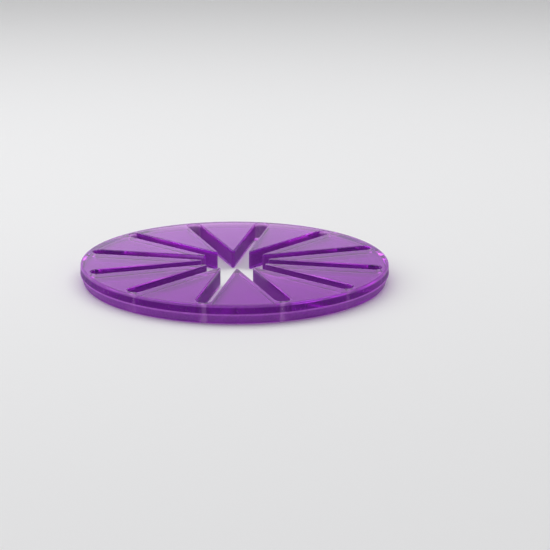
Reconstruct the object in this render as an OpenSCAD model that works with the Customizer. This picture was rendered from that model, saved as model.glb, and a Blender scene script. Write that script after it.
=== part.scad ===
// Splash guard for a planetary stand mixer: one thick disc of clear plastic with a star of slots.
// The wire loops of the whisk stand in the slots, two slots to a loop, and the disc is pushed up
// the loops from below until it lies over the bowl.
// The origin is at the middle of the flat underside, and +Z runs up along the axis of the disc.

/* [Disc] */
// Diameter over the upright band of the rim
disc_d = 165; // [140:1:200]
// Thickness between the top face and the underside
disc_h = 10; // [8:0.5:14]

/* [Rim] */
// Height of the upright band, which runs down from the top face
band_h = 5; // [3:0.25:6.5]
// Distance by which the lower band leans in before it meets the underside
lean_in = 1.8; // [0.6:0.1:2.2]
// Radius of the rounded edge round the top face
top_round = 1.2; // [0.4:0.1:1.5]
// Radius of the rounded edge round the underside
foot_round = 0.8; // [0.3:0.1:1.2]

/* [Slots] */
// Number of slots, which is even because each wire loop takes two
slot_n = 12; // [8:2:16]
// Width of a slot between its upright walls
slot_w = 8; // [5:0.1:9]
// Width of the unbroken rim outside the round ends of the slots
rim_w = 3.6; // [3.5:0.1:10]
// Size of the bevel along both edges of every slot wall
slot_bevel = 0.6; // [0.2:0.05:1]

/* [Fingers] */
// Width of the blunt inner tip of each finger between two slots
tip_w = 1.5; // [1:0.1:3]
// Size of the bevel at both edges of a finger's tip
tip_bevel = 0.4; // [0.1:0.05:0.55]

/* [Hidden] */
$fn = 96;

// Radii of the widest part of the disc and of the circle that the slots reach
disc_r = disc_d / 2;
reach_r = disc_r - rim_w;

// Middle of the round end of a slot
slot_end = reach_r - slot_w / 2;

// Half of the angle between two slots, which is half of the point angle of a finger
half_step = 180 / slot_n;

// Distance from the axis to the flat of a finger's tip, and the round opening that cuts it
tip_at = slot_w / 2 / sin(half_step) + tip_w / 2 / tan(half_step);
core_r = norm([tip_at, tip_w / 2]);

// Slope of the lower band, and the middle of the rounded edge that ends it
lean_angle = atan(lean_in / (disc_h - band_h));
foot_x = disc_r - lean_in - foot_round / tan((90 + lean_angle) / 2);

// Length by which cutters stand out past the faces that they cut
over = 2;

// Half section of the disc: an upright band over a leaning one, with rounded edges at both faces
module rim_section() {
    polygon([
        [0, 0],
        [foot_x, 0],
        [foot_x + foot_round * cos(lean_angle), foot_round - foot_round * sin(lean_angle)],
        [disc_r, disc_h - band_h],
        [disc_r, disc_h - top_round],
        [disc_r - top_round, disc_h],
        [0, disc_h]
    ]);
    translate([foot_x, foot_round]) circle(foot_round);
    translate([disc_r - top_round, disc_h - top_round]) circle(top_round);
}

// Half section of a cut with upright walls that flares by its bevel at the top and the underside
module flared_section(half_w, bevel) {
    flare = bevel + over;
    polygon([
        [0, -over],
        [half_w + flare, -over],
        [half_w, bevel],
        [half_w, disc_h - bevel],
        [half_w + flare, disc_h + over],
        [0, disc_h + over]
    ]);
}

// Straight run of a slot from the axis outwards, and the round end that closes it inside the rim
module slot_cut() {
    rotate([90, 0, 90]) linear_extrude(slot_end) {
        flared_section(slot_w / 2, slot_bevel);
        mirror([1, 0]) flared_section(slot_w / 2, slot_bevel);
    }
    translate([slot_end, 0, 0]) rotate_extrude() flared_section(slot_w / 2, slot_bevel);
}

// The disc, turned as one piece, less its slots and the round opening where they meet
module splash_guard() {
    color([0.42, 0.07, 0.55, 0.75]) difference() {
        rotate_extrude() rim_section();
        for (k = [0 : slot_n - 1]) rotate([0, 0, k * 2 * half_step]) slot_cut();
        rotate_extrude() flared_section(core_r, tip_bevel);
    }
}

splash_guard();
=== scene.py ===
# Splash guard for a stand mixer: a thick disc of clear violet plastic with a star of slots,
# laid on a pale studio floor.
import math

import bpy
import numpy as np
from mathutils import Matrix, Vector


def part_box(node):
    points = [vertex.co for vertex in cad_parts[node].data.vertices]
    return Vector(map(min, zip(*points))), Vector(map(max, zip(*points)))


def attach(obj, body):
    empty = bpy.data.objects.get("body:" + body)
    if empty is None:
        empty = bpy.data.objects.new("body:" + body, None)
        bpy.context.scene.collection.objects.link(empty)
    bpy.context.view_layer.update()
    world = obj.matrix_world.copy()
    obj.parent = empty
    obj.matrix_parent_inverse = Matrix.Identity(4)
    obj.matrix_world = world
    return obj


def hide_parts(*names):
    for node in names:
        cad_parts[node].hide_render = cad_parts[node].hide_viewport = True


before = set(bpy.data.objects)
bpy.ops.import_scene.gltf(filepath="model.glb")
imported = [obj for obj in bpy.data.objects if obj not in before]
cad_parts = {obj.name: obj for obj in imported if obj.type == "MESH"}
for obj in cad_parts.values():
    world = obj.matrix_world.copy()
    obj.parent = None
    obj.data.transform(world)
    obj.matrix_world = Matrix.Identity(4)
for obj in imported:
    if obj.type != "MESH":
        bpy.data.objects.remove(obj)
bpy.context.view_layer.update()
print("frame loaded")


# Shader maths: a node's output that can be used in sums, each of which adds a Math node
class Value:
    def __init__(self, maker, socket):
        self.maker = maker
        self.socket = socket

    def sum(self, operation, first, second):
        return self.maker.add("ShaderNodeMath", {"operation": operation}, {0: first, 1: second})

    def __add__(self, other):
        return self.sum("ADD", self, other)

    def __radd__(self, other):
        return self.sum("ADD", other, self)

    def __sub__(self, other):
        return self.sum("SUBTRACT", self, other)

    def __rsub__(self, other):
        return self.sum("SUBTRACT", other, self)

    def __mul__(self, other):
        return self.sum("MULTIPLY", self, other)

    def __rmul__(self, other):
        return self.sum("MULTIPLY", other, self)


# Adds nodes to the tree of one material or world
class Maker:
    def __init__(self, tree):
        self.tree = tree
        tree.nodes.clear()

    def add(self, kind, settings=None, inputs=None, output=0):
        node = self.tree.nodes.new(kind)
        for key, value in (settings or {}).items():
            setattr(node, key, value)
        for key, value in (inputs or {}).items():
            if isinstance(value, Value):
                self.tree.links.new(value.socket, node.inputs[key])
            else:
                node.inputs[key].default_value = value
        return Value(self, node.outputs[output])

    def finish(self, kind, **ends):
        node = self.tree.nodes.new(kind)
        for key, value in ends.items():
            self.tree.links.new(value.socket, node.inputs[key])


# The disc. Sizes are in metres; its radius and height come from the frame.
guard = {
    "node": "splash_guard",
    "slotCount": 12,
    "slotWidth": 0.008,      # between the upright walls
    "rimWidth": 0.0036,      # unbroken rim outside the round slot ends
    "slotRound": 0.0006,     # soft edge along every slot
    "tipRound": 0.0009,      # inner tip of each finger, seen from above
    "bandHeight": 0.005,     # upright upper band of the rim
    "leanIn": 0.0018,        # how far the lower band leans in
    "topRound": 0.0012,
    "footRound": 0.0008,
    "beadHeight": 0.0007,    # moulding line between the two bands
    "beadOut": 0.00018,
    "margin": 0.00025,       # narrow strip beside each soft edge, which keeps the flats flat
    # finish of each part of the surface: share of painted skin, and how light that skin is painted, each 0
    # to 1
    # these tones are painted light: painted highlights on the top edge, bead, foot edge and slot edges, a
    # painted dark upper band, a painted reflection lightening the lower band and painted shade on the slot
    # walls
    "finish": {
        "face": (0.03, 0.5),
        "wall": (0.85, 0.27),
        "slotEdge": (0.2, 0.5),
        "topEdge": (0.5, 0.7),
        "upperBand": (0.75, 0.0),
        "bead": (0.8, 1.0),
        "lowerBand": (0.7, 0.5),
        "footEdge": (0.75, 0.8),
    },
}
gridSteps = {"endArc": 18, "wall": 22, "tipArc": 10, "round": 6, "band": 3, "bead": 6, "face": 5}


# Points and unit directions on a circle: centre plus radius times (cos a, sin a), a from start to end
def arc(centre, radius, start, end, steps):
    a = np.linspace(start, end, steps + 1)
    way = np.stack([np.cos(a), np.sin(a)], axis=1)
    return np.asarray(centre) + radius * way, way


# One finger's edge in plan, from the middle of one slot's round end to the middle of the next.
# It gives the wall's points, the unit way from the slot into the plastic at each, and the matching
# angle on the outer rim. The wall runs half a slot's width beside the slot's axis, the round end is a
# half circle about the last point of that axis, and the tip is a circle that touches both walls.
def fingerEdge(radius):
    halfStep = math.pi / guard["slotCount"]
    halfWidth = guard["slotWidth"] / 2
    endAt = radius - guard["rimWidth"] - halfWidth
    tipAt = (halfWidth + guard["tipRound"]) / math.sin(halfStep)
    touch = tipAt * math.cos(halfStep)
    tip = np.array([tipAt * math.cos(halfStep), tipAt * math.sin(halfStep)])

    endPoints, endWay = arc((endAt, 0), halfWidth, 0, math.pi / 2, gridSteps["endArc"])
    # the spacing along the wall is eased at both ends
    t = (1 - np.cos(np.linspace(0, math.pi, gridSteps["wall"] + 1))) / 2
    wallPoints = np.stack([endAt + (touch - endAt) * t, np.full_like(t, halfWidth)], axis=1)
    wallWay = np.tile([0.0, 1.0], (len(t), 1))
    tipPoints, tipOut = arc(tip, guard["tipRound"], -math.pi / 2, halfStep - math.pi, gridSteps["tipArc"])
    points = np.vstack([endPoints, wallPoints[1:], tipPoints[1:]])
    way = np.vstack([endWay, wallWay[1:], -tipOut[1:]])

    # the rim's share of the angle: a little for the round end, most for the wall
    endShare = 0.2
    tipShare = 0.06
    share = np.concatenate([
        np.linspace(0, endShare, gridSteps["endArc"] + 1),
        np.linspace(endShare, 1 - tipShare, gridSteps["wall"] + 1)[1:],
        np.linspace(1 - tipShare, 1, gridSteps["tipArc"] + 1)[1:],
    ])
    rimAngle = share * halfStep

    # the other half is the mirror image about the finger's own axis
    c = math.cos(2 * halfStep)
    s = math.sin(2 * halfStep)
    mirror = np.array([[c, s], [s, -c]])
    points = np.vstack([points, (points @ mirror.T)[-2:0:-1]])
    way = np.vstack([way, (way @ mirror.T)[-2:0:-1]])
    rimAngle = np.concatenate([rimAngle, (2 * halfStep - rimAngle)[-2:0:-1]])
    return points, way, rimAngle


# The closed section from the slot's wall over the top, down the rim and back below. Each row is
# (blend, inset, reach, z, skin share, light level): inset is the distance into the plastic from the slot's
# wall, reach the distance from the axis on the rim's side, and blend mixes the two sides from 0 to 1. The
# last two give the share of painted skin and how light it is painted, which paint highlights and shade on
# each part.
def sectionRows(radius, height):
    g = guard
    finish = g["finish"]
    quarter = np.linspace(0, math.pi / 2, gridSteps["round"] + 1)
    ends = np.linspace(0, 1, gridSteps["band"] + 1)
    rows = []

    def slotSide(inset, z, paintedSkin):
        rows.extend((0.0, i, radius, k, *paintedSkin) for i, k in np.broadcast(inset, z))

    def rimSide(reach, z, paintedSkin):
        rows.extend((1.0, 0.0, r, k, *paintedSkin) for r, k in np.broadcast(reach, z))

    def flat(inset, reach, z, outward):
        blends = np.linspace(0, 1, gridSteps["face"] + 1)
        for b in blends if outward else blends[::-1]:
            rows.append((b, inset, reach, z, *finish["face"]))

    edge = g["slotRound"]
    top = g["topRound"]
    foot = g["footRound"]
    bandR = radius - g["beadOut"]  # the bead alone reaches the full radius
    slotSide(0.0, height / 2 + (height / 2 - edge) * ends[:-1], finish["wall"])
    slotSide(edge * (1 - np.cos(quarter)), height - edge + edge * np.sin(quarter), finish["slotEdge"])
    flat(edge + g["margin"], bandR - top - g["margin"], height, True)
    rimSide(bandR - top + top * np.sin(quarter), height - top + top * np.cos(quarter), finish["topEdge"])

    # the upper band, upright down to the bead
    beadTop = height - g["bandHeight"] + g["beadHeight"] / 2
    rimSide(bandR, height - top - g["margin"], finish["upperBand"])
    rimSide(bandR, height - top - g["margin"] + (beadTop + 2 * g["margin"] + top - height) * ends[1:],
            finish["upperBand"])

    # the bead stands out by half a cosine wave over its height, on the line that joins the bands
    lean = math.atan2(g["leanIn"], height - g["bandHeight"])
    footX = radius - g["leanIn"] - foot / math.tan((math.pi / 2 + lean) / 2)
    footR = footX + foot * math.cos(lean)
    footZ = foot - foot * math.sin(lean)
    t = np.linspace(0, 1, gridSteps["bead"] + 1)
    beadZ = beadTop - g["beadHeight"] * t
    under = np.maximum(height - g["bandHeight"] - beadZ, 0)
    bulge = g["beadOut"] * (1 - np.cos(2 * math.pi * t)) / 2
    rimSide(bandR - under * math.tan(lean) + bulge, beadZ, finish["bead"])

    # the lower band leans in as far as the arc of the foot, which ends flat on the underside
    lastR = rows[-1][2]
    lastZ = rows[-1][3]
    t = np.concatenate([[0.06], np.linspace(0.1, 0.94, gridSteps["band"] + 1)])
    rimSide(lastR + (footR - lastR) * t, lastZ + (footZ - lastZ) * t, finish["lowerBand"])
    a = np.linspace(lean, math.pi / 2, gridSteps["round"] + 1)
    rimSide(footX + foot * np.cos(a), foot - foot * np.sin(a), finish["footEdge"])
    flat(edge + g["margin"], footX - g["margin"], 0.0, False)
    slotSide(edge * (1 - np.sin(quarter)), edge - edge * np.cos(quarter), finish["slotEdge"])
    slotSide(0.0, edge + (height / 2 - edge) * ends[1:-1], finish["wall"])
    return np.array(rows)


# The whole surface on a grid of section rows by edge columns. A point is (1 - blend) times (wall point
# plus inset times way) plus blend times reach times (cos angle, sin angle), at the row's height. The
# finger's edge is turned once for each slot.
def guardGrid(radius, height):
    points, way, rimAngle = fingerEdge(radius)
    rows = sectionRows(radius, height)
    turns = 2 * math.pi / guard["slotCount"] * np.arange(guard["slotCount"])
    c = np.cos(turns)[:, None]
    s = np.sin(turns)[:, None]

    def around(p):
        x = c * p[:, 0] - s * p[:, 1]
        y = s * p[:, 0] + c * p[:, 1]
        return np.stack([x.ravel(), y.ravel()], axis=1)

    wall = around(points)
    inward = around(way)
    angle = (turns[:, None] + rimAngle[None, :]).ravel()
    outward = np.stack([np.cos(angle), np.sin(angle)], axis=1)
    blend, inset, reach, z, paintedSkinShare, paintedLightLevel = (rows[:, k][:, None, None] for k in range(6))
    plan = (1 - blend) * (wall[None] + inset * inward[None]) + blend * reach * outward[None]
    one = plan.shape[:2] + (1,)
    # the marks carry painted light: each point's share of painted skin and how light it is painted
    marks = {"paintedSkinShare": np.broadcast_to(paintedSkinShare, one), "paintedLightLevel": np.broadcast_to(paintedLightLevel, one)}
    return np.concatenate([plan, np.broadcast_to(z, one)], axis=2), marks


# A mesh object from a grid of points that closes on itself both ways, with marks, which are named
# numbers for each point
def closedMesh(name, grid, marks):
    rows, columns = grid.shape[:2]
    r, k = np.meshgrid(np.arange(rows), np.arange(columns), indexing="ij")
    nextR = (r + 1) % rows
    nextK = (k + 1) % columns
    corners = [r * columns + k, nextR * columns + k, nextR * columns + nextK, r * columns + nextK]
    quads = np.stack(corners, axis=-1).reshape(-1, 4).astype(np.int32)
    mesh = bpy.data.meshes.new(name)
    mesh.vertices.add(rows * columns)
    mesh.vertices.foreach_set("co", grid.reshape(-1).astype(np.float32))
    mesh.loops.add(quads.size)
    mesh.loops.foreach_set("vertex_index", quads.reshape(-1))
    mesh.polygons.add(len(quads))
    mesh.polygons.foreach_set("loop_start", np.arange(0, quads.size, 4, dtype=np.int32))
    mesh.update(calc_edges=True)
    for mark, values in marks.items():
        layer = mesh.attributes.new(mark, "FLOAT", "POINT")
        layer.data.foreach_set("value", values.reshape(-1).astype(np.float32))
    mesh.validate()
    mesh.polygons.foreach_set("use_smooth", np.ones(len(mesh.polygons), dtype=bool))
    piece = bpy.data.objects.new(name, mesh)
    bpy.context.scene.collection.objects.link(piece)
    return piece


plastic = {
    "name": "clearVioletPlastic",
    "slot": "clear_violet_plastic",
    "ior": 1.49,
    "tint": (0.85, 0.62, 0.95),
    "absorb": (15.5, 110.0, 7.5),   # share of red, green and blue lost, per metre
    "roughness": (0.02, 0.05),
    "paintedSkinRoughness": 0.12,
    # the painted skin's two tones: a deep violet for painted shade and a pale violet for painted
    # highlights
    "paintedShadeColor": (0.15, 0.008, 0.26),
    "paintedHighlightColor": (0.55, 0.16, 0.74),
    "wave": {"scale": 55.0, "height": 0.000012},
    "grain": {"scale": 900.0, "height": 0.0000015},
}


# A noise value, which lies about 0.5, stretched to run from low to high
def spread(maker, value, low, high):
    ends = {"Value": value, "From Min": 0.3, "From Max": 0.7, "To Min": low, "To Max": high}
    return maker.add("ShaderNodeMapRange", {}, ends)


# Clear tinted plastic under a share of painted skin, a matte violet layer whose tone on each part of the
# surface paints highlight lines and dark and light bands. Roughness is the polished one plus the skin's
# share times its own;
# the relief is a long moulding wave plus a fine grain.
def plasticMaterial():
    material = bpy.data.materials.new(plastic["name"])
    material.use_nodes = True
    make = Maker(material.node_tree)
    place = make.add("ShaderNodeTexCoord", output=3)
    wave = make.add("ShaderNodeTexNoise", {}, {
        "Vector": place, "Scale": plastic["wave"]["scale"], "Detail": 2.0})
    grain = make.add("ShaderNodeTexNoise", {}, {
        "Vector": place, "Scale": plastic["grain"]["scale"], "Detail": 1.0})
    relief = wave * plastic["wave"]["height"] + grain * plastic["grain"]["height"]
    bump = make.add("ShaderNodeBump", {}, {"Strength": 1.0, "Distance": 1.0, "Height": relief})
    paintedSkinShare = make.add("ShaderNodeAttribute", {"attribute_name": "paintedSkinShare"}, output=2)
    paintedLightLevel = make.add("ShaderNodeAttribute", {"attribute_name": "paintedLightLevel"}, output=2)
    rough = spread(make, wave, *plastic["roughness"]) + paintedSkinShare * plastic["paintedSkinRoughness"]
    clear = make.add("ShaderNodeBsdfPrincipled", {}, {
        "Base Color": (*plastic["tint"], 1.0),
        "Roughness": rough,
        "IOR": plastic["ior"],
        "Transmission Weight": 1.0,
        "Normal": bump,
    })
    # the skin's painted tone, from painted shade to painted highlight by each point's light level
    paintedTone = make.add("ShaderNodeMix", {"data_type": "RGBA"}, {
        0: paintedLightLevel, 6: (*plastic["paintedShadeColor"], 1.0), 7: (*plastic["paintedHighlightColor"], 1.0)}, output=2)
    paintedSkin = make.add("ShaderNodeBsdfPrincipled", {}, {
        "Base Color": paintedTone,
        "Roughness": rough,
        "IOR": plastic["ior"],
        "Specular IOR Level": 0.0,
        "Normal": bump,
    })
    # the painted skin shows from outside only; from inside the plastic stays clear
    inside = make.add("ShaderNodeNewGeometry", output=6)
    share = paintedSkinShare * spread(make, grain, 0.9, 1.1) * (1 - inside)
    surface = make.add("ShaderNodeMixShader", {}, {0: share, 1: clear, 2: paintedSkin})
    strongest = max(plastic["absorb"])
    volume = make.add("ShaderNodeVolumeAbsorption", {}, {
        "Color": (*[1 - a / strongest for a in plastic["absorb"]], 1.0),
        "Density": strongest,
    })
    make.finish("ShaderNodeOutputMaterial", Surface=surface, Volume=volume)
    return material


def buildGuard():
    low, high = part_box(guard["node"])
    radius = min(high.x, high.y)  # the frame's own facets end a little short along Y
    grid, marks = guardGrid(radius, high.z)
    piece = closedMesh("splashGuardBody", grid, marks)
    piece.data.materials.append(plasticMaterial())
    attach(piece, "root")
    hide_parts(guard["node"])
    print("splash guard:", len(piece.data.polygons), "faces")
    return piece


studio = {
    "floorSize": 12.0,
    "floorGap": 0.0002,
    "floorColor": (0.86, 0.86, 0.87),
    "floorRoughness": 0.7,
    "skyLevel": 0.40,        # light on the object
    "skySeen": (1.0, 0.45),  # what the plastic shows of it, low down and high up
    "skyFade": (0.22, 0.31), # heights on the sky's unit ball between which it fades
    "skyLean": 1.3,          # how much brighter it is towards -X
    "skyMiddle": -0.17,      # X on the sky's unit ball where the lean adds nothing
    "lamps": [
        # name, place, width and depth, watts
        ("topLamp", (-0.1, 0.35, 1.2), (2.2, 1.2), 12.0),
        ("sideLamp", (-1.2, -0.1, 0.8), (0.6, 0.6), 3.0),
    ],
}


def floorMaterial():
    material = bpy.data.materials.new("paleFloor")
    material.use_nodes = True
    make = Maker(material.node_tree)
    color = (*studio["floorColor"], 1.0)
    shader = make.add("ShaderNodeBsdfPrincipled", {}, {
        "Base Color": color, "Roughness": studio["floorRoughness"]})
    make.finish("ShaderNodeOutputMaterial", Surface=shader)
    return material


def buildStudio():
    bpy.ops.mesh.primitive_plane_add(size=studio["floorSize"], location=(0, 0, -studio["floorGap"]))
    floor = bpy.context.object
    floor.name = "floor"
    floor.data.materials.append(floorMaterial())

    world = bpy.data.worlds.new("sky")
    world.use_nodes = True
    bpy.context.scene.world = world
    make = Maker(world.node_tree)
    rays = ("Is Camera Ray", "Is Glossy Ray", "Is Transmission Ray")
    camera, glossy, through = (make.add("ShaderNodeLightPath", output=k) for k in rays)
    seen = make.add("ShaderNodeMath", {"operation": "MAXIMUM"}, {0: camera, 1: glossy})
    seen = make.add("ShaderNodeMath", {"operation": "MAXIMUM"}, {0: seen, 1: through})
    way = make.add("ShaderNodeTexCoord", output=0)
    across = make.add("ShaderNodeSeparateXYZ", {}, {0: way}, output=0)
    up = make.add("ShaderNodeSeparateXYZ", {}, {0: way}, output=2)
    low, high = studio["skyFade"]
    bright, dim = studio["skySeen"]
    shown = make.add("ShaderNodeMapRange", {"interpolation_type": "SMOOTHSTEP"}, {
        "Value": up, "From Min": low, "From Max": high, "To Min": bright, "To Max": dim})
    shown = shown - (across - studio["skyMiddle"]) * studio["skyLean"]
    shown = make.add("ShaderNodeMapRange", {}, {
        "Value": shown, "From Min": dim, "From Max": bright, "To Min": dim, "To Max": bright})
    strength = seen * (shown - studio["skyLevel"]) + studio["skyLevel"]
    back = make.add("ShaderNodeBackground", {}, {"Color": (1, 1, 1, 1), "Strength": strength})
    make.finish("ShaderNodeOutputWorld", Surface=back)

    for name, place, size, watts in studio["lamps"]:
        lamp = bpy.data.lights.new(name, "AREA")
        lamp.shape = "RECTANGLE"
        lamp.size = size[0]
        lamp.size_y = size[1]
        lamp.energy = watts
        holder = bpy.data.objects.new(name, lamp)
        bpy.context.scene.collection.objects.link(holder)
        holder.location = place
        holder.rotation_euler = (-holder.location).to_track_quat("-Z", "Y").to_euler()
    print("studio:", len(studio["lamps"]), "lamps")


view = {
    "turn": 11.8,               # degrees round the object from -Y towards +X
    "rise": 15.81,
    "distance": 0.825,          # metres to the middle of the top face
    "focalPixels": 1538.0,
    "frame": 550,
    "middleAt": (235.0, 259.3),  # pixel where the middle of the top face falls
    "sensor": 36.0,             # millimetres
}


# The camera stands at its distance from the middle of the top face and is turned a little aside, so
# that this middle falls on its pixel and not at the centre of the frame.
def buildCamera():
    turn = math.radians(view["turn"])
    rise = math.radians(view["rise"])
    middle = np.array([0, 0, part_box(guard["node"])[1].z])
    back = np.array([math.sin(turn) * math.cos(rise), -math.cos(turn) * math.cos(rise), math.sin(rise)])
    right = np.array([math.cos(turn), math.sin(turn), 0])
    axes = np.stack([right, np.cross(right, back), -back])  # right, down, forward
    yaw = math.atan((view["middleAt"][0] - view["frame"] / 2) / view["focalPixels"])
    pitch = math.atan((view["middleAt"][1] - view["frame"] / 2) / view["focalPixels"])
    yawTurn = np.array([[math.cos(yaw), 0, math.sin(yaw)], [0, 1, 0], [-math.sin(yaw), 0, math.cos(yaw)]])
    pitchTurn = np.array([
        [1, 0, 0], [0, math.cos(pitch), math.sin(pitch)], [0, -math.sin(pitch), math.cos(pitch)]])
    axes = pitchTurn @ yawTurn @ axes
    data = bpy.data.cameras.new("camera")
    data.sensor_width = view["sensor"]
    data.lens = view["focalPixels"] / view["frame"] * view["sensor"]
    holder = bpy.data.objects.new("camera", data)
    bpy.context.scene.collection.objects.link(holder)
    matrix = np.eye(4)
    matrix[:3, 0] = axes[0]
    matrix[:3, 1] = -axes[1]
    matrix[:3, 2] = -axes[2]
    matrix[:3, 3] = middle + view["distance"] * back
    holder.matrix_world = Matrix(matrix.tolist())
    bpy.context.scene.camera = holder
    print("camera set")


buildCamera()
buildStudio()
bpy.context.scene.view_settings.view_transform = "Standard"
buildGuard()
